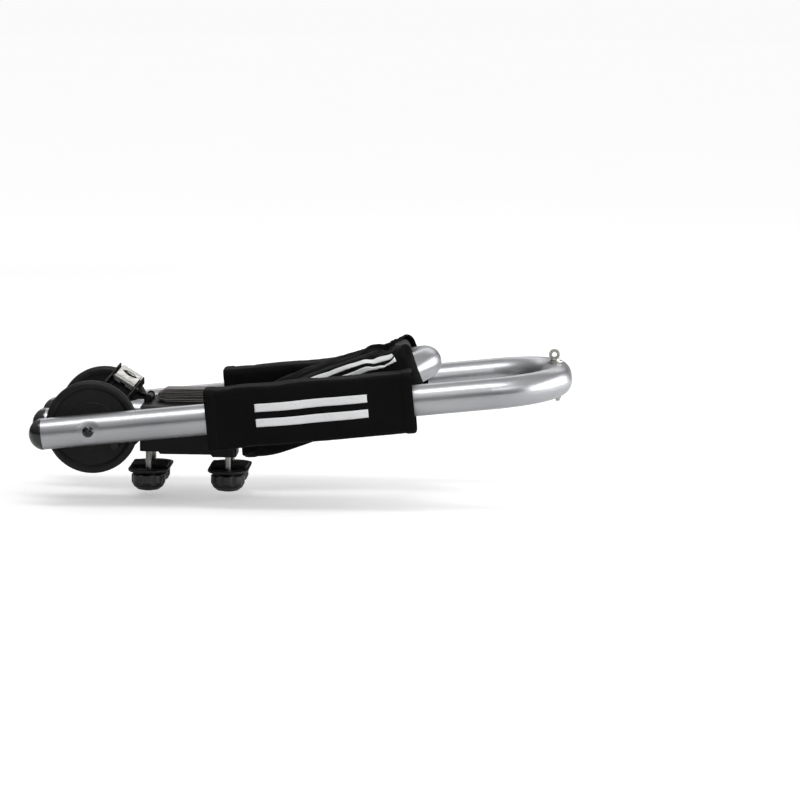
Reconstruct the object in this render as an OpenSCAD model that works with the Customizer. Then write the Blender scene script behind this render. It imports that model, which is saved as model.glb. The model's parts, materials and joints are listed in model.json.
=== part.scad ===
// Folding J-shaped boat carrier that clamps under and over one roof crossbar.
// X runs along the crossbar, Y across it, Z up. The origin is the centre of the
// rubber pad's underside, where the base rests on the top of the crossbar.

/* [Tubes] */
// Outside diameter of both bent tubes
tube_d = 32; // [28:1:34]
// Wall thickness of both bent tubes
tube_wall = 2; // [1.5:0.5:3]

/* [Hinge] */
// Distance of the hinge axis from the middle of the base
pivot_back = 96; // [90:1:110]
// Height of the hinge axis above the crossbar
pivot_z = 20; // [19:1:24]
// Diameter of the hinge discs
disc_d = 96; // [88:1:98]
// Thickness of the hinge discs
disc_t = 10.3; // [9:0.1:10.3]
// Distance of the stop pins from the hinge axis
stop_reach = 30; // [29.5:0.5:32]

/* [Outer arm] */
// Half the distance between the outer arm's legs
outer_half = 85.5; // [85.5:0.5:95]
// Length of the legs behind the hinge
outer_tail = 48.5; // [45:0.5:60]
// Distance from the hinge to the middle of the bend
outer_reach = 479; // [440:1:520]
// Corner radius of the bend
outer_corner = 66; // [55:1:80]
// Upward slope of the outer arm when it is folded, degrees
fold_tilt = 6; // [4:0.1:8]

/* [Inner arm] */
// Half the distance between the inner arm's legs
inner_half = 42; // [42:1:42]
// Length of the legs behind the hinge
inner_tail = 50; // [45:1:60]
// Radius of the bend that turns the legs upward
inner_curve_r = 95; // [80:1:120]
// Level distance covered by the rising straight part of a leg
inner_run = 117; // [100:1:130]
// Height gained over that part
inner_lift = 44; // [36:1:50]

/* [Pads] */
// Height of a pad across its tube
pad_h = 64; // [56:1:66]
// Width of a pad
pad_w = 40; // [38:1:41]
// Start of the outer pads, from the hinge
outer_pad_from = 121; // [105:1:140]
// End of the outer pads, from the hinge
outer_pad_to = 333; // [300:1:380]
// How much further along its leg the rear outer pad sits
outer_pad_slip = 7; // [0:1:10]
// Angle that the inner pads follow the end bend, degrees
inner_pad_turn = 36; // [20:1:60]

/* [Base] */
// End of the base near the hinge
base_from = -47.5; // [-47.5:0.5:-46]
// End of the base under the pads
base_to = 52; // [50:1:53]
// Half the width of the base
base_half = 61; // [60:0.5:63]
// Height of the top of the base cap
base_top = 40; // [39:1:44]
// Distance of the clamp bolts from the middle, along the crossbar
bolt_x = 41.25; // [38:0.25:42]
// Distance of the clamp bolts from the middle, across the crossbar
bolt_y = 27; // [26:0.5:28]

/* [Clamp] */
// Height of the gap for the crossbar with the clamp as drawn
bar_gap = 24.5; // [22:0.5:26]
// Thickness of a clamp plate
plate_t = 2.6; // [2:0.2:4]
// Width of a clamp plate, which is also the diameter of its round ends
plate_w = 42; // [38:1:44]
// Diameter of a hand knob
knob_d = 35; // [32:1:38]
// Height of a hand knob
knob_h = 17.5; // [16:0.5:20]

/* [Buckle] */
// Width of the strap webbing
web_w = 25; // [25:1:25]
// Width of the buckle
buckle_w = 31; // [30:1:33]
// Length of the buckle
buckle_l = 27; // [27:1:32]

/* [Hidden] */
$fn = 64;
tube_r = tube_d / 2;
bore_r = tube_r - tube_wall;
run = 0.05; // running clearance, on radius
gap = 0.1; // gap between fixed neighbours
pivot_x = -pivot_back;
m6_r = 3;
bush_r = 4.5;
disc_in = inner_half + tube_r + gap;
disc_out = disc_in + disc_t;
washer_t = 0.95;
bush_in = disc_out + run;
bush_out = outer_half + tube_r + 0.2;
stop_pin_r = 4;
stop_tip = outer_half - 5.5;
stop_side = sqrt(tube_r * tube_r - pow(outer_half - stop_tip, 2)) + stop_pin_r;
stop_angle = fold_tilt - asin(stop_side / stop_reach) - 0.7;
outer_bend_x = outer_reach - outer_corner;
outer_bend_y = outer_half - outer_corner;
inner_from = pivot_x - inner_tail;
inner_straight_to = base_to + 3;
inner_curve_a = atan2(inner_lift, inner_run);
inner_rise = norm([inner_run, inner_lift]);
rise_x = inner_straight_to + inner_curve_r * sin(inner_curve_a);
rise_z = pivot_z + inner_curve_r * (1 - cos(inner_curve_a));
cover_t = 1;
foam_w = pad_w - 2 * cover_t;
foam_h = pad_h - 2 * cover_t;
pad_round = 9;
inner_pad_start = 1.5; // degrees into the upward bend
pad_gap = 0.3; // left open between the lengths of an inner pad
liner_t = 3;
plate_top = -bar_gap - liner_t;
plate_low = plate_top - plate_t;
knob_hub_h = 2.3;
knob_top = plate_low - gap;
bolt_tip = knob_top - knob_hub_h - knob_h + 3;
insert_t = 7;

// ---- shared shapes ----

// Cylinder along +X from the origin
module rod_x(r, len) {
    rotate([0, 90, 0]) cylinder(r = r, h = len);
}

// Cylinder along Y between two places, given as distances from the middle plane,
// on the side that side (-1 front, 1 rear) names
module rod_y(r, from, to, side) {
    translate([0, side * from, 0]) rotate([-90 * side, 0, 0]) cylinder(r = r, h = to - from);
}

// Tube's section
module ring() {
    difference() {
        circle(r = tube_r);
        circle(r = bore_r);
    }
}

// Rectangle with round corners, centred
module round_rect(w, h, r) {
    square([w - 2 * r, h], center = true);
    square([w, h - 2 * r], center = true);
    for (sx = [-1, 1], sy = [-1, 1])
        translate([sx * (w / 2 - r), sy * (h / 2 - r)]) circle(r = r);
}

// Pad's section: a block of foam round the tube, width along the first axis
module foam_section(w, h) {
    difference() {
        round_rect(w, h, pad_round - cover_t);
        circle(r = tube_r + run);
    }
}

// Cover's section: a thin skin round the foam
module cover_section(w, h) {
    difference() {
        round_rect(w + 2 * cover_t, h + 2 * cover_t, pad_round);
        round_rect(w + 2 * run, h + 2 * run, pad_round - cover_t + run);
    }
}

// Places children in the outer arm's own frame: hinge at the origin, legs along +X
module outer_frame() {
    translate([pivot_x, 0, pivot_z]) rotate([0, -fold_tilt, 0]) children();
}

// Places children at the hinge, square to the base
module hinge_frame() {
    translate([pivot_x, 0, pivot_z]) children();
}

// ---- outer arm ----

module outer_arm() {
    color("silver") outer_frame() difference() {
        union() {
            for (side = [-1, 1]) {
                translate([-outer_tail, side * outer_half, 0]) rotate([0, 90, 0])
                    linear_extrude(outer_tail + outer_bend_x) ring();
                translate([outer_bend_x, side * outer_bend_y, 0])
                    rotate([0, 0, side < 0 ? -90 : 0])
                        rotate_extrude(angle = 90) translate([outer_corner, 0]) ring();
            }
            translate([outer_reach, outer_bend_y, 0]) rotate([90, 0, 0])
                linear_extrude(2 * outer_bend_y) ring();
        }
        // hinge bores and the hole for the strap eye
        for (side = [-1, 1])
            rod_y(bush_r + run, outer_half - tube_r - 1, outer_half + tube_r + 1, side);
        translate([outer_reach, 0, -tube_r - 1]) cylinder(r = m6_r + run, h = tube_d + 2);
    }
}

// Domed plug for a tube that runs along +X from the origin
module end_cap() {
    dome_h = 12.5;
    dome_r = tube_r + 0.3;
    ball_r = (dome_r * dome_r + dome_h * dome_h) / (2 * dome_h);
    rotate([0, -90, 0]) rotate_extrude() {
        translate([0, -12]) square([bore_r - run, 12]);
        translate([0, 0.05]) square([dome_r, 1.5]);
        square([bore_r - run, 1]);
        intersection() {
            translate([0, 1.5 + dome_h - ball_r]) circle(r = ball_r);
            translate([0, 1.5]) square([dome_r, dome_h]);
        }
    }
}

module outer_end_caps() {
    color("black") outer_frame() for (side = [-1, 1])
        translate([-outer_tail, side * outer_half, 0]) end_cap();
}

module outer_pad(side) {
    slip = side > 0 ? outer_pad_slip : 0;
    translate([outer_pad_from + slip, side * outer_half, 0]) rotate([90, 0, 90]) children();
}

module outer_foam(side) {
    color("dimgray") outer_frame() outer_pad(side)
        translate([0, 0, 2]) linear_extrude(outer_pad_to - outer_pad_from - 4)
            foam_section(foam_w, foam_h);
}

module outer_cover(side) {
    color([0.05, 0.05, 0.05]) outer_frame() outer_pad(side)
        linear_extrude(outer_pad_to - outer_pad_from) cover_section(foam_w, foam_h);
}

module outer_foam_front() { outer_foam(-1); }
module outer_foam_rear() { outer_foam(1); }
module outer_cover_front() { outer_cover(-1); }
module outer_cover_rear() { outer_cover(1); }

// Eye bolt on top of the outer bend
eye_r = 5.6;
eye_hole_r = 2.6;
eye_t = 4.4;
eye_collar_h = 2.4;
eye_washer_t = 1.2;
eye_seat = tube_r + 0.05;

module strap_eye() {
    collar_z = eye_seat + eye_washer_t + 0.05;
    eye_z = collar_z + eye_collar_h + eye_r - 1;
    color("lightgray") outer_frame() translate([outer_reach, 0, 0]) difference() {
        union() {
            translate([0, 0, -tube_r - 8]) cylinder(r = m6_r, h = tube_d + 10);
            translate([0, 0, collar_z]) cylinder(r = 5, h = eye_collar_h);
            translate([0, eye_t / 2, eye_z]) rotate([90, 0, 0]) cylinder(r = eye_r, h = eye_t);
        }
        translate([0, eye_t, eye_z]) rotate([90, 0, 0]) cylinder(r = eye_hole_r, h = 2 * eye_t);
    }
}

module eye_washer() {
    color("lightgray") outer_frame() translate([outer_reach, 0, eye_seat]) difference() {
        cylinder(r = 8, h = eye_washer_t);
        translate([0, 0, -1]) cylinder(r = m6_r + run, h = 4);
    }
}

module eye_nut() {
    color("lightgray") outer_frame() translate([outer_reach, 0, -tube_r - 5.1]) difference() {
        cylinder(r = 5.77, h = 5, $fn = 6);
        translate([0, 0, -1]) cylinder(r = m6_r + run, h = 7);
    }
}

// ---- inner arm ----

// Places children on the upward bend's circle, which turns about a line along Y
module curve_frame(side, from) {
    translate([inner_straight_to, side * inner_half, pivot_z + inner_curve_r])
        rotate([90, 0, 0]) rotate([0, 0, from - 90]) children();
}

// Places children in the plane of the rising legs: origin where they begin, +X up the slope
module rise_frame() {
    translate([rise_x, 0, rise_z]) rotate([0, -inner_curve_a, 0]) children();
}

module inner_arm() {
    color("silver") difference() {
        union() {
            for (side = [-1, 1]) {
                translate([inner_from, side * inner_half, pivot_z]) rotate([0, 90, 0])
                    linear_extrude(inner_straight_to - inner_from) ring();
                curve_frame(side, 0) rotate_extrude(angle = inner_curve_a)
                    translate([inner_curve_r, 0]) ring();
                rise_frame() translate([0, side * inner_half, 0]) rotate([0, 90, 0])
                    linear_extrude(inner_rise) ring();
            }
            rise_frame() translate([inner_rise, 0, 0]) rotate([0, 0, -90])
                rotate_extrude(angle = 180) translate([inner_half, 0]) ring();
        }
        hinge_frame() for (side = [-1, 1]) {
            rod_y(m6_r + run, inner_half - tube_r - 1, inner_half + tube_r + 1, side);
            for (dx = [-1, 1]) translate([dx * screw_reach, 0, 0])
                rod_y(screw_r + run, inner_half, inner_half + tube_r + 1, side);
        }
    }
}

module inner_end_caps() {
    color("black") for (side = [-1, 1])
        translate([inner_from, side * inner_half, pivot_z]) end_cap();
}

// Pad in three lengths: round the upward bend, up the slope, round the end bend
module inner_pad(side) {
    curve_frame(side, inner_pad_start) rotate_extrude(angle = inner_curve_a - inner_pad_start)
        translate([inner_curve_r, 0]) rotate(90) children();
    rise_frame() translate([pad_gap, side * inner_half, 0]) rotate([90, 0, 90])
        linear_extrude(inner_rise - 2 * pad_gap) children();
    rise_frame() translate([inner_rise, 0, 0]) rotate([0, 0, side < 0 ? -90 : 90 - inner_pad_turn])
        rotate_extrude(angle = inner_pad_turn) translate([inner_half, 0]) children();
}

module inner_foam(side) {
    color("dimgray") inner_pad(side) foam_section(foam_w, foam_h);
}

module inner_cover(side) {
    color([0.07, 0.07, 0.07]) inner_pad(side) cover_section(foam_w, foam_h);
}

module inner_foam_front() { inner_foam(-1); }
module inner_foam_rear() { inner_foam(1); }
module inner_cover_front() { inner_cover(-1); }
module inner_cover_rear() { inner_cover(1); }

// ---- hinge ----

screw_reach = 33;
screw_r = 2;
screw_head_r = 4;
recess = 1.6;
disc_hub_r = 26;

module hinge_disc(side) {
    rim_r = disc_t / 2;
    color([0.13, 0.13, 0.13]) hinge_frame() difference() {
        translate([0, side * (disc_in + rim_r), 0]) rotate([90, 0, 0]) rotate_extrude() {
            translate([disc_d / 2 - rim_r, 0]) circle(r = rim_r);
            translate([0, -rim_r + recess]) square([disc_d / 2 - rim_r, disc_t - 2 * recess]);
            translate([0, -rim_r]) square([disc_hub_r, disc_t]);
        }
        rod_y(m6_r + run, disc_in - 1, disc_out + 1, side);
        for (dx = [-1, 1]) translate([dx * screw_reach, 0, 0]) {
            rod_y(screw_r + run, disc_in - 1, disc_out + 1, side);
            rod_y(screw_head_r + run, disc_out - recess - 2.1, disc_out + 1, side);
        }
        rotate([0, -stop_angle, 0]) translate([stop_reach, 0, 0])
            rod_y(stop_pin_r + 0.02, disc_in + 3, disc_out + 1, side);
    }
}

module hinge_disc_front() { hinge_disc(-1); }
module hinge_disc_rear() { hinge_disc(1); }

module disc_screws() {
    head_out = disc_out - recess;
    color("dimgray") hinge_frame() for (side = [-1, 1], dx = [-1, 1])
        translate([dx * screw_reach, 0, 0]) {
            rod_y(screw_r, inner_half + 8, head_out - 1, side);
            rod_y(screw_head_r, head_out - 2, head_out, side);
        }
}

module stop_pins() {
    color([0.1, 0.1, 0.1]) hinge_frame() for (side = [-1, 1])
        rotate([0, -stop_angle, 0]) translate([stop_reach, 0, 0])
            rod_y(stop_pin_r, disc_in + 3.1, stop_tip, side);
}

// Button-head bolt, from its head outside the outer leg to its tip behind the inner leg
module pivot_bolts() {
    head_r = 5.7;
    head_h = 3.2;
    head_ball = 7.4;
    tip = 16;
    color("black") hinge_frame() for (side = [-1, 1]) {
        rod_y(m6_r, tip, bush_out + run + 1, side);
        translate([0, side * (bush_out + run), 0]) rotate([-90 * side, 0, 0]) difference() {
            rotate_extrude() intersection() {
                square([head_r, head_h]);
                translate([0, head_h - head_ball]) circle(r = head_ball);
            }
            translate([0, 0, 1.2]) cylinder(r = 2.3, h = 5, $fn = 6);
        }
    }
}

// Round spacer along Y with a hole for the hinge bolt
module collar(r, from, to, side) {
    difference() {
        rod_y(r, from, to, side);
        rod_y(m6_r + run, from - 1, to + 1, side);
    }
}

module pivot_bushes() {
    color("tan") hinge_frame() for (side = [-1, 1])
        collar(bush_r, bush_in, bush_out, side);
}

module pivot_washers() {
    color("white") hinge_frame() for (side = [-1, 1]) difference() {
        rod_y(9, disc_out + run, disc_out + run + washer_t, side);
        rod_y(bush_r + run, disc_out - 1, disc_out + 3, side);
    }
}

module spacer_sleeves() {
    sleeve_r = 6;
    half_len = sqrt(bore_r * bore_r - sleeve_r * sleeve_r) - 0.15;
    color("lightgray") hinge_frame() for (side = [-1, 1])
        collar(sleeve_r, inner_half - half_len, inner_half + half_len, side);
}

module nut_washers() {
    color("lightgray") hinge_frame() for (side = [-1, 1])
        collar(6.5, inner_half - tube_r - 1.7, inner_half - tube_r - gap, side);
}

module pivot_nuts() {
    nut_in = 18.2;
    nut_h = 6;
    color("gray") hinge_frame() for (side = [-1, 1]) difference() {
        translate([0, side * nut_in, 0]) rotate([-90 * side, 0, 0])
            cylinder(r = 5.77, h = nut_h, $fn = 6);
        rod_y(m6_r + run, nut_in - 1, nut_in + nut_h + 1, side);
    }
}

// ---- base ----

bar_half = 21;
pad_t = 3;
base_mid = (base_from + base_to) / 2;
base_len = base_to - base_from;
split = 0.1;

// Outline of the base seen from above
module base_plan() {
    translate([base_mid, 0]) round_rect(base_len, 2 * base_half, 5);
}

module leg_grooves() {
    for (side = [-1, 1])
        translate([base_from - 5, side * inner_half, pivot_z])
            rod_x(tube_r + gap, base_len + 10);
}

cap_screw_x = 24;
cap_screw_y = 18;
cap_screw_r = 2.5;

module cap_screw_places() {
    for (sx = [-1, 1], sy = [-1, 1])
        translate([sx * cap_screw_x, sy * cap_screw_y, 0]) children();
}

module bolt_places() {
    for (sx = [-1, 1], sy = [-1, 1])
        translate([sx * bolt_x, sy * bolt_y, 0]) children();
}

// Lower edge of the base seen from the side, deeper towards the far bolts
module base_side() {
    polygon([[base_from - 1, -5], [-28, -5], [-26, -7.5], [26, -7.5], [28, -10],
        [base_to + 1, -10], [base_to + 1, pivot_z - split], [base_from - 1, pivot_z - split]]);
}

bolt_seat = 0.9;

module base_saddle() {
    color([0.09, 0.09, 0.1]) difference() {
        intersection() {
            translate([0, 0, -20]) linear_extrude(60) base_plan();
            translate([0, 80, 0]) rotate([90, 0, 0]) linear_extrude(160) base_side();
        }
        leg_grooves();
        translate([base_from - 5, -bar_half, -20]) cube([base_len + 10, 2 * bar_half, 20 + pad_t]);
        // lightening pockets in both skirts
        for (side = [-1, 1])
            translate([-26, side * 43 - 12, -20]) cube([52, 24, 21]);
        bolt_places() {
            translate([0, 0, -20]) cylinder(r = m6_r + 0.3, h = 40);
            translate([0, 0, bolt_seat]) cylinder(r = 8.5, h = 30);
            translate([-3.3, -3.3, bolt_seat - 3.5]) cube([6.6, 6.6, 6]);
        }
        cap_screw_places() translate([0, 0, 6]) cylinder(r = cap_screw_r + run, h = 30);
    }
}

anchor_x = -43;
anchor_z = base_top + 4.5;
anchor_r = 2;
lug_in = 14;
lug_out = 18;

module base_cap() {
    color([0.09, 0.09, 0.1]) difference() {
        union() {
            intersection() {
                translate([0, 0, pivot_z]) linear_extrude(base_top) base_plan();
                translate([base_from - 1, 0, 0]) rotate([90, 0, 90]) linear_extrude(base_len + 2)
                    polygon([[-base_half - 1, 0], [-base_half - 1, 29], [-base_half + 11, base_top],
                        [base_half - 11, base_top], [base_half + 1, 29], [base_half + 1, 0]]);
            }
            // lugs that hold the strap's anchor bar
            for (side = [-1, 1])
                translate([anchor_x - 4, side * (lug_in + lug_out) / 2 - (lug_out - lug_in) / 2,
                    base_top - 2]) cube([8, lug_out - lug_in, anchor_z - base_top + 2]);
            for (side = [-1, 1])
                translate([anchor_x, 0, anchor_z]) rod_y(4, lug_in, lug_out, side);
        }
        leg_grooves();
        // hollow between the legs, with posts for the cap screws left standing
        difference() {
            translate([-40, -24, pivot_z - 1]) cube([84, 48, base_top - pivot_z - 3]);
            cap_screw_places() cylinder(r = 7, h = base_top);
        }
        cap_screw_places() {
            cylinder(r = cap_screw_r + 0.2, h = 2 * base_top);
            translate([0, 0, base_top - 4]) cylinder(r = 4.8, h = 10);
        }
        translate([anchor_x, 0, anchor_z])
            rod_y(anchor_r + run, -lug_out - 1, lug_out + 1, 1);
    }
}

module base_pad() {
    color([0.05, 0.05, 0.05]) translate([base_mid, 0, 0])
        linear_extrude(pad_t - 0.02) round_rect(base_len - 6, 2 * bar_half - 5, 3);
}

module cap_screws() {
    color("dimgray") cap_screw_places() {
        translate([0, 0, 6.5]) cylinder(r = cap_screw_r, h = base_top - 10);
        difference() {
            translate([0, 0, base_top - 3.9]) cylinder(r = 4.4, h = 3.7);
            translate([0, 0, base_top - 2]) cylinder(r = 2.1, h = 5, $fn = 6);
        }
    }
}

// ---- crossbar clamp ----

// Carriage bolts with domed heads in the saddle's floor
module clamp_bolts() {
    head_ball = 12;
    head_h = 3.2;
    color("silver") bolt_places() {
        translate([0, 0, bolt_tip]) cylinder(r = m6_r, h = bolt_seat - bolt_tip + 1);
        translate([-3, -3, bolt_seat - 3]) cube([6, 6, 3.5]);
        translate([0, 0, bolt_seat + 0.05]) rotate_extrude() intersection() {
            square([8, head_h]);
            translate([0, head_h - head_ball]) circle(r = head_ball);
        }
    }
}

// Plate with a round end about each bolt and a chamfer round its lower edge
module clamp_plate(side) {
    end_r = plate_w / 2;
    chamfer = 0.9;
    color([0.1, 0.1, 0.1]) translate([side * bolt_x, 0, plate_low]) difference() {
        union() {
            translate([0, bolt_y, 0]) rotate([90, 0, 0]) linear_extrude(2 * bolt_y)
                polygon([[-end_r + chamfer, 0], [end_r - chamfer, 0], [end_r, chamfer],
                    [end_r, plate_t], [-end_r, plate_t], [-end_r, chamfer]]);
            for (sy = [-1, 1]) translate([0, sy * bolt_y, 0]) rotate_extrude()
                polygon([[0, 0], [end_r - chamfer, 0], [end_r, chamfer], [end_r, plate_t],
                    [0, plate_t]]);
        }
        for (sy = [-1, 1])
            translate([0, sy * bolt_y, -1]) cylinder(r = m6_r + 0.2, h = plate_t + 2);
    }
}

// Rubber strip between the plate and the crossbar, clear of the bolts
module plate_liner(side) {
    color([0.06, 0.06, 0.06]) translate([side * bolt_x, 0, plate_top + 0.02])
        linear_extrude(liner_t) round_rect(plate_w - 4, 2 * bar_half - 2, 3);
}

module clamp_plate_left() { clamp_plate(-1); }
module clamp_plate_right() { clamp_plate(1); }
module plate_liner_left() { plate_liner(-1); }
module plate_liner_right() { plate_liner(1); }

// Hand knob, hanging from its hub's top face at the origin
module knob(sx, sy) {
    flutes = 8;
    hub_r = 7.5;
    color([0.07, 0.07, 0.07]) translate([sx * bolt_x, sy * bolt_y, knob_top])
        rotate([180, 0, 0]) difference() {
            union() {
                cylinder(r = hub_r, h = knob_hub_h + 1);
                translate([0, 0, knob_hub_h]) intersection() {
                    linear_extrude(knob_h) difference() {
                        circle(r = knob_d / 2);
                        for (i = [0 : flutes - 1]) rotate((i + 0.5) * 360 / flutes)
                            translate([knob_d / 2 + 5.8, 0]) circle(r = 7);
                    }
                    rotate_extrude() polygon([[0, 0], [knob_d / 2 - 1, 0], [knob_d / 2, 1],
                        [knob_d / 2, knob_h - 9], [knob_d / 2 - 2.2, knob_h - 4.6],
                        [knob_d / 2 - 6.5, knob_h - 1.2], [5, knob_h], [0, knob_h]]);
                }
            }
            translate([0, 0, -1]) cylinder(r = m6_r + 0.3, h = knob_hub_h + knob_h - 1);
            translate([0, 0, knob_hub_h - 0.1])
                cylinder(r = 5.87, h = insert_t + 0.2, $fn = 6);
        }
}

// Metal thread inside a hand knob
module knob_insert(sx, sy) {
    color("goldenrod")
        translate([sx * bolt_x, sy * bolt_y, knob_top - knob_hub_h - insert_t]) difference() {
            cylinder(r = 5.77, h = insert_t, $fn = 6);
            translate([0, 0, -1]) cylinder(r = m6_r + run, h = insert_t + 2);
        }
}

module knob_left_front() { knob(-1, -1); }
module knob_left_rear() { knob(-1, 1); }
module knob_right_front() { knob(1, -1); }
module knob_right_rear() { knob(1, 1); }
module knob_insert_left_front() { knob_insert(-1, -1); }
module knob_insert_left_rear() { knob_insert(-1, 1); }
module knob_insert_right_front() { knob_insert(1, -1); }
module knob_insert_right_rear() { knob_insert(1, 1); }

// ---- strap and buckle ----

module anchor_bar() {
    color("silver") translate([anchor_x, 0, anchor_z])
        rod_y(anchor_r, -lug_out, lug_out, 1);
}

bundle_from = -36;
bundle_to = 50;
bundle_h = 14;

// Folded webbing, tied in a flat pack on top of the base
module strap_bundle() {
    low = base_top + 0.1;
    color([0.2, 0.18, 0.17]) translate([0, web_w / 2, 0]) rotate([90, 0, 0])
        linear_extrude(web_w) polygon([[bundle_from, low], [bundle_to, low],
            [bundle_to, low + bundle_h], [bundle_from + 10, low + bundle_h],
            [bundle_from + 2, low + bundle_h - 4]]);
}

buckle_at = [-68, -9, 60];
buckle_turn = -29;
buckle_yaw = -16;
buckle_pitch = -34;
buckle_half_t = 6;
sheet = 1.5;
pin_r = 1.6;
cam_half = web_w / 2 - 0.5;

// Buckle's own frame: x across the webbing, y along it, z out of the buckle's face
module buckle_frame_at() {
    translate(buckle_at) rotate([90, 0, 0])
        rotate([buckle_pitch, buckle_yaw, buckle_turn]) children();
}

module strap_loop() {
    color([0.06, 0.06, 0.06]) hull() {
        buckle_frame_at() translate([0, -buckle_l / 2 + 6, -buckle_half_t - 1.4])
            cube([web_w - 3, 8, 1.6], center = true);
        translate([anchor_x - 4.4, 3.5, anchor_z + 1]) cube([1.6, 7, 3], center = true);
    }
}

module buckle_frame() {
    ear = buckle_w / 2;
    color("silver") buckle_frame_at() difference() {
        union() {
            translate([-ear, -buckle_l / 2, -buckle_half_t]) cube([buckle_w, buckle_l, sheet]);
            for (side = [-1, 1])
                translate([side * (ear - sheet / 2) - sheet / 2, -buckle_l / 2, -buckle_half_t])
                    cube([sheet, buckle_l, 2 * buckle_half_t]);
        }
        // windows for the webbing, at both ends
        for (side = [-1, 1])
            translate([-web_w / 2 - 0.5, side * (buckle_l / 2 - 6) - 2.2, -buckle_half_t - 1])
                cube([web_w + 1, 4.4, 4]);
        translate([-ear - 1, 0, 0.5]) rod_x(pin_r + run, buckle_w + 2);
    }
}

// Eye-shaped outline, wide along x
module eye_slot(len, high) {
    r = (len * len / 4 + high * high / 4) / high;
    intersection() {
        translate([0, high / 2 - r]) circle(r = r);
        translate([0, r - high / 2]) circle(r = r);
    }
}

// Grooved thumb lever that presses the webbing against the frame
module buckle_cam() {
    grooves = 5;
    cam_r = 4;
    groove_step = 28;
    color("silver") buckle_frame_at() translate([0, 0, 0.5]) difference() {
        union() {
            translate([-cam_half, 0, 0]) rod_x(cam_r, 2 * cam_half);
            translate([-cam_half, 0, 1.6]) cube([2 * cam_half, buckle_l / 2 + 1, 2]);
        }
        translate([-cam_half - 1, 0, 0]) rod_x(pin_r + run, 2 * cam_half + 2);
        for (i = [0 : grooves - 1]) rotate([-170 + i * groove_step, 0, 0])
            translate([-cam_half - 1, cam_r + 0.2, 0]) rod_x(0.6, 2 * cam_half + 2);
        // room for the spring, and the eye-shaped slot in the thumb plate
        translate([-3, -6, -6]) cube([6, 8.8, 9]);
        translate([0, buckle_l / 2 - 4.4, 0]) linear_extrude(6) eye_slot(18, 4.4);
    }
}

module buckle_pin() {
    color("silver") buckle_frame_at() translate([-buckle_w / 2 - 0.8, 0, 0.5])
        rod_x(pin_r, buckle_w + 1.6);
}

// Torsion spring round the pin, drawn as closed coils
module buckle_spring() {
    wire = 0.45;
    coils = 4;
    color("gray") buckle_frame_at() translate([0, 0, 0.5]) rotate([0, 90, 0])
        for (i = [0 : coils - 1]) translate([0, 0, (i - (coils - 1) / 2) * 1.2])
            rotate_extrude() translate([pin_r + run + wire, 0]) circle(r = wire);
}

outer_arm();
outer_end_caps();
inner_arm();
inner_end_caps();
hinge_disc_front();
hinge_disc_rear();
pivot_bolts();
pivot_bushes();
pivot_washers();
spacer_sleeves();
nut_washers();
pivot_nuts();
stop_pins();
disc_screws();
outer_foam_front();
outer_foam_rear();
outer_cover_front();
outer_cover_rear();
inner_foam_front();
inner_foam_rear();
inner_cover_front();
inner_cover_rear();
base_saddle();
base_cap();
base_pad();
cap_screws();
clamp_bolts();
clamp_plate_left();
clamp_plate_right();
plate_liner_left();
plate_liner_right();
knob_left_front();
knob_left_rear();
knob_right_front();
knob_right_rear();
knob_insert_left_front();
knob_insert_left_rear();
knob_insert_right_front();
knob_insert_right_rear();
anchor_bar();
strap_bundle();
strap_loop();
buckle_frame();
buckle_cam();
buckle_pin();
buckle_spring();
strap_eye();
eye_washer();
eye_nut();
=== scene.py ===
"""Looks for the folding J-shaped boat carrier: padded sleeves, webbing, buckle and finishes.

Lengths are in metres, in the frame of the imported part: X along the crossbar, Y across it, Z up.
"""

import json
import math

import bpy
import numpy as np
from mathutils import Matrix, Vector, noise


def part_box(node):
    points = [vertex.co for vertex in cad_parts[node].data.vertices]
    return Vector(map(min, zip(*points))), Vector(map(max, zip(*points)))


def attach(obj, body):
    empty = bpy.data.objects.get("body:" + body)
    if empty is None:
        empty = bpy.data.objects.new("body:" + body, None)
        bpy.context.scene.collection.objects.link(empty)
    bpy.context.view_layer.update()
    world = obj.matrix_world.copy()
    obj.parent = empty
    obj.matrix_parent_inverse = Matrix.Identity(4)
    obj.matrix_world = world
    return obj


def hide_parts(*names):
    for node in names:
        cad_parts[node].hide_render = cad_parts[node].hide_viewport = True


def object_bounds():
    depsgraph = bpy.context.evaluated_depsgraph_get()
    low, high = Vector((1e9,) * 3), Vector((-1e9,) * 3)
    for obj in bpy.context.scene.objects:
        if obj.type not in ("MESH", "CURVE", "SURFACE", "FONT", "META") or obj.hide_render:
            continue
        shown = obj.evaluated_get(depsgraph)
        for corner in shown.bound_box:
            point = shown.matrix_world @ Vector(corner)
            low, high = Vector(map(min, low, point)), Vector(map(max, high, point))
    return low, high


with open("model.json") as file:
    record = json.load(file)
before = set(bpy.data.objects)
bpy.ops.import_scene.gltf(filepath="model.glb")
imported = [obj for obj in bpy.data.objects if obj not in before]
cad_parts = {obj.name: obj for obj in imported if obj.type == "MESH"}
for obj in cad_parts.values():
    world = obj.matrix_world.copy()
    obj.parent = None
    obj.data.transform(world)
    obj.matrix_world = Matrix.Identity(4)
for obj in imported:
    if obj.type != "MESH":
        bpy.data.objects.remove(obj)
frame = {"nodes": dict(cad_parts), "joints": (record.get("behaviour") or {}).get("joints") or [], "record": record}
cad_low, cad_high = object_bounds()

MM = 0.001

# ---------------------------------------------------------------- places from the frame


def joint(name):
    """The frame's joint of that name."""
    return next(j for j in frame["joints"] if j["name"] == name)


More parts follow.
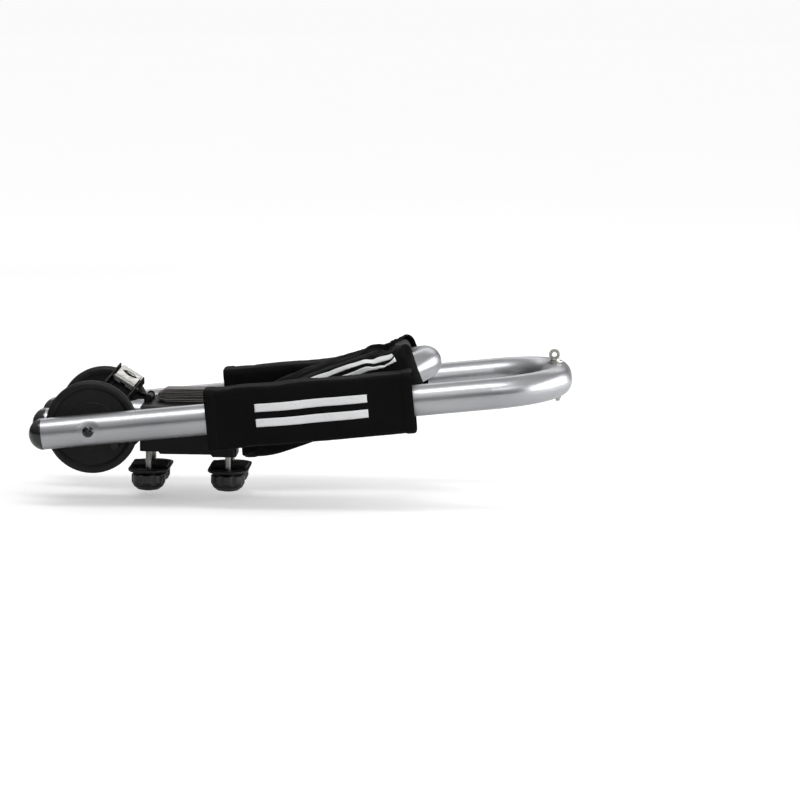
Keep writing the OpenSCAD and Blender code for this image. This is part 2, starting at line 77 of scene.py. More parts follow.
PIVOT = Vector(joint("arm_fold")["pos_m"])
CAM_PIN = Vector(joint("cam_open")["pos_m"])
CAM_AXIS = Vector(joint("cam_open")["axis"])
BUCKLE_TURN = math.radians(-29)
BUCKLE_YAW = math.radians(-16)
BUCKLE_PITCH = math.radians(-34)
BUCKLE = (Matrix.Rotation(math.pi / 2, 3, "X") @ Matrix.Rotation(BUCKLE_TURN, 3, "Z")
          @ Matrix.Rotation(BUCKLE_YAW, 3, "Y") @ Matrix.Rotation(BUCKLE_PITCH, 3, "X"))
# The buckle's own directions: along the webbing, and out of its face
BUCKLE_UP, BUCKLE_FACE = BUCKLE @ Vector((0, 1, 0)), BUCKLE @ Vector((0, 0, 1))
FOLD_TILT = math.radians(6)
TUBE_R = 16 * MM

OUTER_HALF = (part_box("outer_cover_rear")[0].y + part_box("outer_cover_rear")[1].y) / 2
INNER_HALF = (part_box("nut_washers")[1].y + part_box("hinge_disc_rear")[0].y) / 2
PAD_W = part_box("outer_cover_rear")[1].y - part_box("outer_cover_rear")[0].y
PAD_H = 64 * MM
OUTER_PAD_FROM = 121 * MM
OUTER_PAD_TO = 333 * MM
REAR_PAD_SLIP = 7 * MM
# How far the clamp plates and knobs can come down
CLAMP_DROP = 10 * MM
CURVE_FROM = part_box("base_saddle")[1].x + 3 * MM
CURVE_R = 95 * MM
CURVE_A = math.atan2(44, 117)
RISE = 125 * MM
PAD_START_A = math.radians(1.5)
PAD_TURN = math.radians(36)

# ---------------------------------------------------------------- node helpers


class Nodes:
    """Short calls for building one material's node tree."""

    def __init__(self, name):
        self.material = bpy.data.materials.new(name)
        self.material.use_nodes = True
        self.tree = self.material.node_tree
        self.bsdf = self.tree.nodes["Principled BSDF"]

    def add(self, kind, **values):
        node = self.tree.nodes.new("ShaderNode" + kind)
        for key, value in values.items():
            if hasattr(node, key):
                setattr(node, key, value)
            else:
                node.inputs[key.replace("_", " ")].default_value = value
        return node

    def link(self, out, socket):
        self.tree.links.new(out, socket)

    def math(self, operation, a, b=None):
        node = self.add("Math", operation=operation)
        for socket, value in zip(node.inputs, (a, b)):
            if value is None:
                continue
            if isinstance(value, (int, float)):
                socket.default_value = value
            else:
                self.link(value, socket)
        return node.outputs[0]

    def coords(self, scale=(1, 1, 1), attribute=None):
        """Object coordinates, or a stored attribute, multiplied by scale."""
        if attribute:
            source = self.add("Attribute", attribute_name=attribute).outputs["Vector"]
        else:
            source = self.add("TexCoord").outputs["Object"]
        mapping = self.add("Mapping")
        mapping.inputs["Scale"].default_value = scale
        self.link(source, mapping.inputs["Vector"])
        return mapping.outputs["Vector"]

    def noise(self, vector, scale, detail=4.0, roughness=0.55):
        node = self.add("TexNoise", Scale=scale, Detail=detail, Roughness=roughness)
        self.link(vector, node.inputs["Vector"])
        return node.outputs["Fac"]

    def ramp(self, fac, low, high, from_low=0.0, from_high=1.0):
        node = self.add("MapRange")
        node.inputs["From Min"].default_value = from_low
        node.inputs["From Max"].default_value = from_high
        node.inputs["To Min"].default_value = low
        node.inputs["To Max"].default_value = high
        self.link(fac, node.inputs["Value"])
        return node.outputs["Result"]

    def mix(self, fac, colour_a, colour_b):
        node = self.add("Mix", data_type="RGBA")
        if isinstance(fac, (int, float)):
            node.inputs[0].default_value = fac
        else:
            self.link(fac, node.inputs[0])
        for socket, value in ((node.inputs[6], colour_a), (node.inputs[7], colour_b)):
            if isinstance(value, tuple):
                socket.default_value = (*value, 1)
            else:
                self.link(value, socket)
        return node.outputs[2]

    def bump(self, height, distance, strength=1.0, normal=None):
        node = self.add("Bump", Distance=distance, Strength=strength)
        self.link(height, node.inputs["Height"])
        if normal is not None:
            self.link(normal, node.inputs["Normal"])
        return node.outputs["Normal"]

    def soft_edges(self, radius):
        node = self.add("Bevel", samples=4)
        node.inputs["Radius"].default_value = radius
        return node.outputs["Normal"]

    def finish(self, colour=None, roughness=None, normal=None, **values):
        for name, value in (("Base Color", colour), ("Roughness", roughness)):
            if value is None:
                continue
            if isinstance(value, tuple):
                self.bsdf.inputs[name].default_value = (*value, 1)
            elif isinstance(value, (int, float)):
                self.bsdf.inputs[name].default_value = value
            else:
                self.link(value, self.bsdf.inputs[name])
        if normal is not None:
            self.link(normal, self.bsdf.inputs["Normal"])
        for key, value in values.items():
            self.bsdf.inputs[key.replace("_", " ")].default_value = value
        return self.material


# ---------------------------------------------------------------- materials


def anodised_tube(name, tilt):
    """Satin drawn aluminium; the drawing lines run along the tube, whose slope is tilt."""
    n = Nodes(name)
    turned = n.add("VectorRotate", rotation_type="Y_AXIS")
    turned.inputs["Angle"].default_value = tilt
    n.link(n.add("TexCoord").outputs["Object"], turned.inputs["Vector"])
    stretch = n.add("Mapping")
    stretch.inputs["Scale"].default_value = (14, 900, 900)
    n.link(turned.outputs["Vector"], stretch.inputs["Vector"])
    lines = n.noise(stretch.outputs["Vector"], 1.0, 3)
    cloud = n.noise(n.coords(), 18, 3)
    grain = n.noise(n.coords(), 1600, 2)
    tone = n.mix(n.ramp(cloud, 0, 1, 0.3, 0.7), (0.46, 0.466, 0.485), (0.52, 0.525, 0.54))
    rough = n.math("ADD", n.ramp(lines, 0.3, 0.4, 0.3, 0.7), n.ramp(cloud, -0.02, 0.04))
    height = n.math("ADD", n.math("MULTIPLY", lines, 0.6), n.math("MULTIPLY", grain, 0.4))
    parts = n.add("SeparateXYZ")
    n.link(n.add("TexCoord").outputs["Object"], parts.inputs[0])
    across = n.math("POWER", n.math("SUBTRACT", parts.outputs[0], PIVOT.x), 2)
    upward = n.math("POWER", n.math("SUBTRACT", parts.outputs[2], PIVOT.z), 2)
    away = n.math("SQRT", n.math("ADD", across, upward))
    pressed = n.add("MapRange", interpolation_type="SMOOTHSTEP")
    pressed.inputs["From Min"].default_value = 5 * MM
    pressed.inputs["From Max"].default_value = 13 * MM
    n.link(away, pressed.inputs["Value"])
    dimple = n.bump(pressed.outputs["Result"], 0.9 * MM, 1.0)
    return n.finish(tone, rough, n.bump(height, 0.00002, 0.5, dimple), Metallic=1.0)


def moulded_plastic(name, colour, rough, grain_size, edge=0.0006, coat=0.0, shine=0.5,
                    dust=1.9):
    """Moulded plastic or rubber with a fine spark-eroded grain and faint scuffs."""
    n = Nodes(name)
    grain = n.noise(n.coords(), 1.0 / grain_size, 3)
    scuff = n.noise(n.coords((1, 1.7, 1.3)), 55, 6, 0.7)
    # dust sets how much lighter the scuff patches are; at the disc's high value these patches are partly dust and
    # partly a painted sheen.
    lighter = tuple(c * dust + 0.0015 for c in colour)
    tone = n.mix(n.ramp(scuff, 0, 0.55, 0.5, 0.75), colour, lighter)
    roughness = n.ramp(scuff, rough - 0.06, rough + 0.1, 0.3, 0.7)
    normal = n.bump(grain, 0.00012, 0.35, n.soft_edges(edge))
    return n.finish(tone, roughness, normal, Coat_Weight=coat, Coat_Roughness=0.08,
                    Specular_IOR_Level=shine)


def plated_steel(name, colour, rough, scratch=0.5, edge=0.0004):
    """Zinc or chrome plate with fine random scratches."""
    n = Nodes(name)
    cloud = n.noise(n.coords(), 90, 4)
    scratches = n.noise(n.coords((120, 1300, 420)), 1.0, 5, 0.7)
    darker = tuple(c * 0.78 for c in colour)
    tone = n.mix(n.ramp(cloud, 0, 1, 0.3, 0.7), darker, colour)
    roughness = n.ramp(scratches, rough * 0.7, rough * 1.5, 0.3, 0.7)
    normal = n.bump(scratches, 0.00004, scratch, n.soft_edges(edge))
    return n.finish(tone, roughness, normal, Metallic=1.0)


def black_steel(name, rough):
    """Black-oxide or painted steel, worn a little brighter in patches."""
    n = Nodes(name)
    wear = n.noise(n.coords(), 220, 5, 0.7)
    tone = n.mix(n.ramp(wear, 0, 0.5, 0.55, 0.8), (0.006, 0.006, 0.0065), (0.03, 0.03, 0.031))
    roughness = n.ramp(wear, rough - 0.05, rough + 0.12, 0.3, 0.7)
    normal = n.bump(n.noise(n.coords(), 2600, 2), 0.00006, 0.3, n.soft_edges(0.0005))
    return n.finish(tone, roughness, normal, Metallic=0.25)


def woven_cloth(name, colour, thread, sheen):
    """Plain-weave pack cloth; the threads follow the stored weave coordinates, in metres."""
    n = Nodes(name)
    vector = n.coords((1, 1, 1), "weave")
    parts = n.add("SeparateXYZ")
    n.link(vector, parts.inputs[0])
    turns = 2 * math.pi / (2 * thread)
    warp = n.math("SINE", n.math("MULTIPLY", parts.outputs[0], turns))
    weft = n.math("SINE", n.math("MULTIPLY", parts.outputs[1], turns))
    over = n.math("MULTIPLY", warp, weft)
    fine = n.math("SINE", n.math("MULTIPLY", n.math("ADD", parts.outputs[0], parts.outputs[1]),
                                 turns * 4))
    height = n.math("ADD", n.math("MULTIPLY", over, 0.5), n.math("MULTIPLY", fine, 0.06))
    dust = n.noise(n.coords(), 26, 6, 0.65)
    fuzz = n.noise(n.coords(), 1500, 2)
    lighter = tuple(c * 2.0 + 0.001 for c in colour)
    # The weave's sunken points are painted darker, a painted shade that follows the bump; the dust noise adds
    # lighter random patches on top.
    painted_shade_and_mottle = n.math("ADD", n.ramp(over, 0, 0.3, -1, 1), n.ramp(dust, 0, 0.45, 0.45, 0.75))
    tone = n.mix(painted_shade_and_mottle, colour, lighter)
    roughness = n.ramp(fuzz, 0.72, 0.92, 0.3, 0.7)
    normal = n.bump(height, thread * 0.25, 0.6)
    return n.finish(tone, roughness, normal, Sheen_Weight=sheen, Sheen_Roughness=0.45,
                    Specular_IOR_Level=0.12)


def ribbed_webbing(name, colour):
    """Webbing with ribs across its width; weave x runs along it and y across, in metres."""
    n = Nodes(name)
    parts = n.add("SeparateXYZ")
    n.link(n.coords((1, 1, 1), "weave"), parts.inputs[0])
    ribs = n.math("SINE", n.math("MULTIPLY", parts.outputs[0], 2 * math.pi / 0.0016))
    rows = n.math("SINE", n.math("MULTIPLY", parts.outputs[1], 2 * math.pi / 0.0021))
    height = n.math("ADD", n.math("MULTIPLY", ribs, 0.4), n.math("MULTIPLY", rows, 0.6))
    cloud = n.noise(n.coords(), 60, 5)
    lighter = tuple(c * 1.7 + 0.002 for c in colour)
    # Colour follows the ribs: the grooves are painted darker as a painted shade, and the cloud noise adds random
    # mottle.
    painted_shade_and_mottle = n.math("ADD", n.ramp(height, 0, 0.5, -1, 1), n.ramp(cloud, 0, 0.4, 0.4, 0.75))
    tone = n.mix(painted_shade_and_mottle, colour, lighter)
    return n.finish(tone, n.ramp(cloud, 0.6, 0.85), n.bump(height, 0.00025, 0.7),
                    Sheen_Weight=0.25, Sheen_Roughness=0.5, Specular_IOR_Level=0.3)


def foam_material():
    """Closed-cell foam with a pitted surface."""
    n = Nodes("closed_cell_foam")
    cells = n.add("TexVoronoi", Scale=900.0)
    n.link(n.coords(), cells.inputs["Vector"])
    # The cells' hollows are painted darker than their rims, a painted shade in the pits that follows the bump.
    tone = n.mix(n.ramp(cells.outputs["Distance"], 0, 1, 0.1, 0.7), (0.02, 0.02, 0.022),
                 (0.07, 0.07, 0.075))
    return n.finish(tone, 0.9, n.bump(cells.outputs["Distance"], 0.0003, 0.6))


def reflective_print():
    """White reflective ink with a fine bead texture."""
    n = Nodes("reflective_print")
    beads = n.noise(n.coords(), 2200, 2)
    worn = n.noise(n.coords(), 130, 6, 0.75)
    tone = n.mix(n.ramp(worn, 0, 0.5, 0.55, 0.8), (0.86, 0.87, 0.88), (0.45, 0.46, 0.47))
    return n.finish(tone, n.ramp(beads, 0.35, 0.6), n.bump(beads, 0.00006, 0.5))


def thread_material():
    n = Nodes("sewing_thread")
    twist = n.noise(n.coords(), 3000, 2)
    # Colour follows the twist's bump: the low places are painted darker, a painted shade.
    tone = n.mix(n.ramp(twist, 0, 1), (0.02, 0.02, 0.022), (0.06, 0.06, 0.065))
    return n.finish(tone, 0.7, n.bump(twist, 0.0001, 0.5), Sheen_Weight=0.3)


def brass_material():
    n = Nodes("turned_brass")
    cloud = n.noise(n.coords(), 300, 4)
    tone = n.mix(cloud, (0.55, 0.36, 0.12), (0.75, 0.55, 0.22))
    return n.finish(tone, n.ramp(cloud, 0.2, 0.4), n.soft_edges(0.0003), Metallic=1.0)


MATERIALS = {
    "tube": anodised_tube("satin_tube_folding", FOLD_TILT),
    "tube_inner": anodised_tube("satin_tube_fixed", 0.0),
    "cap_black": moulded_plastic("cap_plastic", (0.004, 0.004, 0.0045), 0.2, 0.0009, 0.0008, 0.5),
    "base_black": moulded_plastic("base_plastic", (0.0028, 0.0028, 0.003), 0.42, 0.0007, 0.0012,
                                  shine=0.22),
    # The disc's high dust value makes its lighter random patches stand partly for dust and partly for a painted
    # sheen.
    "disc_charcoal": moulded_plastic("disc_rubber", (0.0052, 0.0048, 0.0046), 0.46, 0.0006, 0.001,
                                     shine=0.3, dust=4.5),
    "rubber": moulded_plastic("grip_rubber", (0.005, 0.005, 0.005), 0.7, 0.0008, 0.0006),
    "zinc_steel": plated_steel("zinc_plate", (0.66, 0.65, 0.6), 0.26),
    "bolt_steel": plated_steel("bolt_plate", (0.32, 0.315, 0.3), 0.27),
    "black_steel": black_steel("black_oxide_steel", 0.3),
    "black_gloss": moulded_plastic("black_screw", (0.0015, 0.0015, 0.0015), 0.14, 0.002, 0.0004,
                                   0.5, shine=0.4),
    "plate_black": black_steel("painted_plate", 0.42),
    "knob_black": moulded_plastic("knob_plastic", (0.004, 0.004, 0.0045), 0.3, 0.0008, 0.001, 0.2),
    "brass": brass_material(),
    "nylon": moulded_plastic("natural_nylon", (0.62, 0.6, 0.53), 0.4, 0.0009, 0.0003),
    "buckle_steel": plated_steel("buckle_plate", (0.3, 0.296, 0.28), 0.36, 0.7, 0.0005),
    # The buckle frame gets near-black steel, far darker than the rest of the buckle.
    "buckle_near_black": plated_steel("buckle_near_black_steel", (0.04, 0.039, 0.036), 0.5, 0.7, 0.0005),
    "pad_cloth": woven_cloth("pad_cloth", (0.0016, 0.0016, 0.0018), 0.0006, 0.03),
    "webbing": ribbed_webbing("strap_webbing", (0.12, 0.112, 0.108)),
    "dark_webbing": ribbed_webbing("dark_webbing", (0.004, 0.004, 0.0042)),
    "foam": foam_material(),
    "print": reflective_print(),
    "thread": thread_material(),
}
# Nodes whose look differs from the rest of their slot
RECOLOURED = {"inner_arm": "tube_inner", "pivot_bolts": "black_gloss",
              "buckle_frame": "buckle_near_black", "clamp_bolts": "bolt_steel"}
PLAIN_SLOTS = {row["node"]: row["material_slot"] for row in frame["record"]["subparts"]}


def dress_cad_nodes():
    """Gives every CAD node the material of its slot, or its own one."""
    for name, node in frame["nodes"].items():
        key = RECOLOURED.get(name, PLAIN_SLOTS[name])
        node.data.materials.clear()
        node.data.materials.append(MATERIALS[key])


# ---------------------------------------------------------------- mesh helpers


def make_object(name, verts, faces, material, body):
    """A mesh piece that rides on a body."""
    mesh = bpy.data.meshes.new(name)
    mesh.from_pydata([tuple(v) for v in verts], [], faces)
    mesh.validate()
    mesh.update()
    obj = bpy.data.objects.new(name, mesh)
    bpy.context.scene.collection.objects.link(obj)
    mesh.materials.append(MATERIALS[material])
    mesh.polygons.foreach_set("use_smooth", [True] * len(mesh.polygons))
    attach(obj, body)
    return obj


def store_weave(obj, coords):
    """Stores the cloth's own coordinates, in metres, for its material's threads."""
    data = obj.data.attributes.new("weave", "FLOAT_VECTOR", "POINT").data
    flat = np.zeros((len(coords), 3), np.float32)
    flat[:, :2] = coords
    data.foreach_set("vector", flat.ravel())


def apply_modifiers(obj):
    """Replaces obj's mesh with its evaluated one and removes the modifiers."""
    graph = bpy.context.evaluated_depsgraph_get()
    mesh = bpy.data.meshes.new_from_object(obj.evaluated_get(graph))
    old = obj.data
    obj.modifiers.clear()
    obj.data = mesh
    bpy.data.meshes.remove(old)


def tube_grid_faces(rows, columns):
    """Quads of a grid whose columns close on themselves."""
    faces = []
    for i in range(rows - 1):
        for j in range(columns):
            k = (j + 1) % columns
            faces.append((i * columns + j, i * columns + k,
                          (i + 1) * columns + k, (i + 1) * columns + j))
    return faces


def rounded_section(count, width, height, radius):
    """Points round a rectangle with round corners, evenly spaced, starting at its low middle."""
    straight_w, straight_h = width - 2 * radius, height - 2 * radius
    corner = math.pi / 2 * radius
    total = 2 * (straight_w + straight_h) + 4 * corner
    walk = [
        ("line", straight_w / 2, (0, -height / 2), (1, 0)),
        ("arc", corner, (width / 2 - radius, -height / 2 + radius), -math.pi / 2),
        ("line", straight_h, (width / 2, -straight_h / 2), (0, 1)),
        ("arc", corner, (width / 2 - radius, height / 2 - radius), 0.0),
        ("line", straight_w, (straight_w / 2, height / 2), (-1, 0)),
        ("arc", corner, (-width / 2 + radius, height / 2 - radius), math.pi / 2),
        ("line", straight_h, (-width / 2, straight_h / 2), (0, -1)),
        ("arc", corner, (-width / 2 + radius, -height / 2 + radius), math.pi),
        ("line", straight_w / 2, (-straight_w / 2, -height / 2), (1, 0)),
    ]
    points = []
    for i in range(count):
        s = total * i / count
        for kind, length, start, turn in walk:
            if s <= length:
                break
            s -= length
        if kind == "line":
            points.append((start[0] + turn[0] * s, start[1] + turn[1] * s))
        else:
            a = turn + s / radius
            points.append((start[0] + radius * math.cos(a), start[1] + radius * math.sin(a)))
    return np.array(points), total


# ---------------------------------------------------------------- sleeve paths


class StraightPath:
    """The centre line of an outer leg, from the start to the end of its pad."""

    def __init__(self, side):
        self.side = side
        self.length = OUTER_PAD_TO - OUTER_PAD_FROM
        self.along = Vector((math.cos(FOLD_TILT), 0, math.sin(FOLD_TILT)))
        self.up = Vector((-math.sin(FOLD_TILT), 0, math.cos(FOLD_TILT)))
        slip = REAR_PAD_SLIP if side > 0 else 0.0
        foot = Vector((PIVOT.x, side * OUTER_HALF, PIVOT.z))
        self.start = foot + self.along * (OUTER_PAD_FROM + slip)

    def at(self, s):
        """Centre, outward direction and upward direction at distance s."""
        return self.start + self.along * s, Vector((0, self.side, 0)), self.up


class CurvedPath:
    """The centre line of an inner leg: round the upward bend, up the slope, into the end bend."""

    def __init__(self, side):
        self.side = side
        self.curve_length = CURVE_R * (CURVE_A - PAD_START_A)
        self.rise_length = self.curve_length + RISE
        self.length = self.rise_length + INNER_HALF * PAD_TURN
        self.centre = Vector((CURVE_FROM, side * INNER_HALF, PIVOT.z + CURVE_R))
        self.rise_up = Vector((-math.sin(CURVE_A), 0, math.cos(CURVE_A)))
        self.rise_along = Vector((math.cos(CURVE_A), 0, math.sin(CURVE_A)))
        self.foot = self.centre - self.rise_up * CURVE_R
        self.bend = Vector((self.foot.x, 0, self.foot.z)) + self.rise_along * RISE

    def at(self, s):
        outward = Vector((0, self.side, 0))
        if s <= self.curve_length:
            a = PAD_START_A + s / CURVE_R
            up = Vector((-math.sin(a), 0, math.cos(a)))
            return self.centre - up * CURVE_R, outward, up
        if s <= self.rise_length:
            centre = self.foot + self.rise_along * (s - self.curve_length)
            return centre, outward, self.rise_up
        turn = (s - self.rise_length) / INNER_HALF
        out = outward * math.cos(turn) + self.rise_along * math.sin(turn)
        return self.bend + out * INNER_HALF, out, self.rise_up


# ---------------------------------------------------------------- cloth sleeves

ROWS_PER_M = 560
AROUND = 108


class Sleeve:
    """A sewn cloth sleeve on a path, kept as a grid of points: rows along it, columns round it."""

    def __init__(self, path, width, height, radius):
        self.path = path
        self.rows = int(path.length * ROWS_PER_M)
        section, self.perimeter = rounded_section(AROUND, width, height, radius)
        self.local = np.zeros((self.rows, AROUND, 2))
        self.frames = []
        for i in range(self.rows):
            s = path.length * i / (self.rows - 1)
            self.frames.append([np.array(v) for v in path.at(s)])
            self.local[i] = section

    def world(self):
        """The grid's points in the frame."""
        points = np.zeros((self.rows, AROUND, 3))
        for i, (centre, out, up) in enumerate(self.frames):
            points[i] = centre + np.outer(self.local[i, :, 0], out) + \
                np.outer(self.local[i, :, 1], up)
        return points

    def set_world(self, points):
        """Takes the grid back from points in the frame."""
        for i, (centre, out, up) in enumerate(self.frames):
            offset = points[i] - centre
            self.local[i, :, 0] = offset @ out
            self.local[i, :, 1] = offset @ up

    def disturb(self, height, scale, seed):
        """Small unevenness that tells the simulation where to buckle."""
        points = self.world()
        for i in range(self.rows):
            for j in range(AROUND):
                p = Vector(points[i, j]) * scale + Vector((seed, 0, 0))
                self.local[i, j] += noise.noise_vector(p).xy * height

    def simulate(self, pressure, growth, cap, frames, stiffness):
        """Inflates the sleeve as slightly oversized cloth pinned at both hems."""
        start = self.world()
        flat = start.reshape(-1, 3)
        mesh = bpy.data.meshes.new("cloth")
        mesh.from_pydata([tuple(p) for p in flat], [], self.faces())
        obj = bpy.data.objects.new("cloth", mesh)
        bpy.context.scene.collection.objects.link(obj)
        pins = obj.vertex_groups.new(name="hems")
        ends = list(range(AROUND)) + list(range((self.rows - 1) * AROUND, self.rows * AROUND))
        pins.add(ends, 1.0, "REPLACE")
        cloth = obj.modifiers.new("cloth", "CLOTH")
        settings = cloth.settings
        settings.quality = 6
        settings.mass = 0.25
        settings.tension_stiffness = stiffness
        settings.compression_stiffness = stiffness
        settings.shear_stiffness = stiffness * 0.6
        settings.bending_stiffness = 0.12
        settings.use_pressure = True
        settings.uniform_pressure_force = pressure
        settings.shrink_min = -growth
        settings.shrink_max = -growth
        settings.vertex_group_mass = "hems"
        settings.effector_weights.gravity = 0
        cloth.point_cache.frame_start = 1
        cloth.point_cache.frame_end = frames
        for number in range(1, frames + 1):
            bpy.context.scene.frame_set(number)
        graph = bpy.context.evaluated_depsgraph_get()
        result = obj.evaluated_get(graph).data
        moved = np.zeros(len(flat) * 3)
        result.vertices.foreach_get("co", moved)
        moved = moved.reshape(-1, 3) - flat
        size = np.linalg.norm(moved, axis=1)[:, None]
        moved *= np.minimum(1.0, cap / np.maximum(size, 1e-9))
        bpy.data.objects.remove(obj)
        bpy.data.meshes.remove(mesh)
        bpy.context.scene.frame_set(1)
        self.set_world((flat + moved).reshape(start.shape))

    def faces(self):
        """The grid's faces, with their normals out of the sleeve."""
        faces = tube_grid_faces(self.rows, AROUND)
        return faces if self.path.side > 0 else [tuple(reversed(f)) for f in faces]

    def keep_outside(self, width, height, radius, clearance, lift=0.0):
        """Moves cloth that sank into the foam core back onto its surface."""
        x, y = self.local[:, :, 0], self.local[:, :, 1] - lift
        dx = np.abs(x) - (width / 2 - radius)
        dy = np.abs(y) - (height / 2 - radius)
        ox, oy = np.maximum(dx, 0), np.maximum(dy, 0)
        corner = np.hypot(ox, oy)
        deep = np.minimum(np.maximum(dx, dy), 0)
        depth = corner + deep - radius - clearance
        soft = 0.4 * MM
        push = soft * np.log1p(np.exp(np.clip(-depth / soft, -60, 60)))
        inside = corner < 1e-9
        gx = np.where(inside, np.where(dx > dy, 1.0, 0.0), ox / np.maximum(corner, 1e-9))
        gy = np.where(inside, np.where(dx > dy, 0.0, 1.0), oy / np.maximum(corner, 1e-9))
        self.local[:, :, 0] += push * gx * np.sign(x)
        self.local[:, :, 1] += push * gy * np.sign(y)

    def limit(self, half_width, half_height):
        """Presses the sleeve softly back inside its space."""
        for axis, half in ((0, half_width), (1, half_height)):
            value = self.local[:, :, axis]
            knee = half * 0.86
            over = np.abs(value) - knee
            room = half - knee
            soft = knee + room * np.tanh(over / room)
            self.local[:, :, axis] = np.where(over > 0, np.sign(value) * soft, value)

    def point(self, row, column, lift=0.0):
        """Surface point at fractional row and column, lifted along the surface normal."""
        points = self.cached
        i = min(max(row, 0.0), self.rows - 1.001)
        i0, fi = int(i), i - int(i)
        j0, fj = int(math.floor(column)) % AROUND, column - math.floor(column)
        j1 = (j0 + 1) % AROUND
        a, b = points[i0, j0], points[i0, j1]
        c, d = points[i0 + 1, j0], points[i0 + 1, j1]
        base = (a * (1 - fj) + b * fj) * (1 - fi) + (c * (1 - fj) + d * fj) * fi
        along = (c + d) - (a + b)
        around = (b + d) - (a + c)
        normal = np.cross(around, along) * self.path.side
        normal /= np.linalg.norm(normal)
        return base + normal * lift, normal

    def freeze(self):
        """Keeps the grid's points as they are now, for point()."""
        self.cached = self.world()

    def weave_coords(self):
        """Each point's distance along and round the sleeve."""
        step_s = self.path.length / (self.rows - 1)
        step_t = self.perimeter / AROUND
        rows, columns = np.meshgrid(np.arange(self.rows) * step_s, np.arange(AROUND) * step_t,
                                    indexing="ij")
        return np.stack([rows.ravel(), columns.ravel()], axis=1)


def sleeve_object(sleeve, name, body, thickness):
    """The sleeve as a cloth shell with thickness."""
    obj = make_object(name, sleeve.cached.reshape(-1, 3), sleeve.faces(), "pad_cloth", body)
    store_weave(obj, sleeve.weave_coords())
    shell = obj.modifiers.new("shell", "SOLIDIFY")
    shell.thickness = thickness
    shell.offset = -1
    apply_modifiers(obj)
    return obj


def foam_object(path, name, body, width, height, radius):
    """Foam core with a tube hole, a little shorter than its sleeve."""
    inset = 3 * MM
    section, _ = rounded_section(AROUND, width, height, radius)
    rows = 40
    verts = []
    rings = []
    edge = 2 * MM
    # The rounded edge: share of the full section, and distance in from the end
    outline = [(0.86, 0.0), (0.97, 0.4 * MM), (1.0, edge)]
    hole = TUBE_R + 0.1 * MM
    stations = [(inset + d, k) for k, d in outline]
    stations += [(inset + edge + (path.length - 2 * inset - 2 * edge) * i / rows, 1.0)
                 for i in range(1, rows)]
    stations += [(path.length - inset - d, k) for k, d in reversed(outline)]
    for s, scale in stations:
        centre, out, up = path.at(s)
        rings.append(len(verts))
        verts += [centre + out * (x * scale) + up * (y * scale) for x, y in section]
    bore_rows = []
    for i in range(rows + 1):
        s = path.length - inset - (path.length - 2 * inset) * i / rows
        centre, out, up = path.at(s)
        bore_rows.append(len(verts))
        for j in range(AROUND):
            x, y = section[j]
            a = math.atan2(y, x)
            verts.append(centre + out * (hole * math.cos(a)) + up * (hole * math.sin(a)))
    faces = []
    loops = rings + bore_rows + [rings[0]]
    for a, b in zip(loops, loops[1:]):
        for j in range(AROUND):
            k = (j + 1) % AROUND
            faces.append((a + j, a + k, b + k, b + j))
    if path.side < 0:
        faces = [tuple(reversed(f)) for f in faces]
    return make_object(name, verts, faces, "foam", body)


# ---------------------------------------------------------------- stitches and prints


def capsule(verts, faces, start, end, radius, normal, sides=6):
    """Adds one small sewn stitch from start to end, arched out along normal."""
    along = np.array(end) - np.array(start)
    length = np.linalg.norm(along)
    along = along / length
    side = np.cross(normal, along)
    side /= np.linalg.norm(side)
    up = np.cross(along, side)
    rings = ((0.0, 0.25, -0.6), (0.18, 0.9, 0.1), (0.5, 1.0, 0.45), (0.82, 0.9, 0.1),
             (1.0, 0.25, -0.6))
    first = len(verts)
    for t, scale, lift in rings:
        centre = np.array(start) + along * (length * t) + up * (radius * lift)
        for k in range(sides):
            a = 2 * math.pi * k / sides
            verts.append(centre + (side * math.cos(a) + up * math.sin(a)) * radius * scale)
    for r in range(len(rings) - 1):
        for k in range(sides):
            m = (k + 1) % sides
            a, b = first + r * sides, first + (r + 1) * sides
            faces.append((a + k, a + m, b + m, b + k))
    faces.append(tuple(first + k for k in reversed(range(sides))))
    last = first + (len(rings) - 1) * sides
    faces.append(tuple(last + k for k in range(sides)))


# A stitch, the gap to the next, the thread's radius and its height over the cloth
STITCH = 3.2 * MM
STITCH_GAP = 1.3 * MM
THREAD_R = 0.32 * MM
THREAD_LIFT = 0.1 * MM


def ring_stitches(sleeve, verts, faces, distance):
    """A row of stitches round the sleeve, distance from its start (or end, if negative)."""
    row = distance / sleeve.path.length * (sleeve.rows - 1)
    if distance < 0:
        row += sleeve.rows - 1
    count = int(sleeve.perimeter / (STITCH + STITCH_GAP))
    part = STITCH / (STITCH + STITCH_GAP)
    for k in range(count):
        a, normal = sleeve.point(row, k * AROUND / count, THREAD_LIFT)
        b, _ = sleeve.point(row, (k + part) * AROUND / count, THREAD_LIFT)
        capsule(verts, faces, a, b, THREAD_R, normal)


def long_stitches(sleeve, verts, faces, column):
    """A row of stitches along the sleeve."""
    count = int(sleeve.path.length / (STITCH + STITCH_GAP))
    part = STITCH / (STITCH + STITCH_GAP)
    step = (sleeve.rows - 1) / count
    for k in range(count):
        a, normal = sleeve.point(k * step, column, THREAD_LIFT)
        b, _ = sleeve.point((k + part) * step, column, THREAD_LIFT)
        capsule(verts, faces, a, b, THREAD_R, normal)


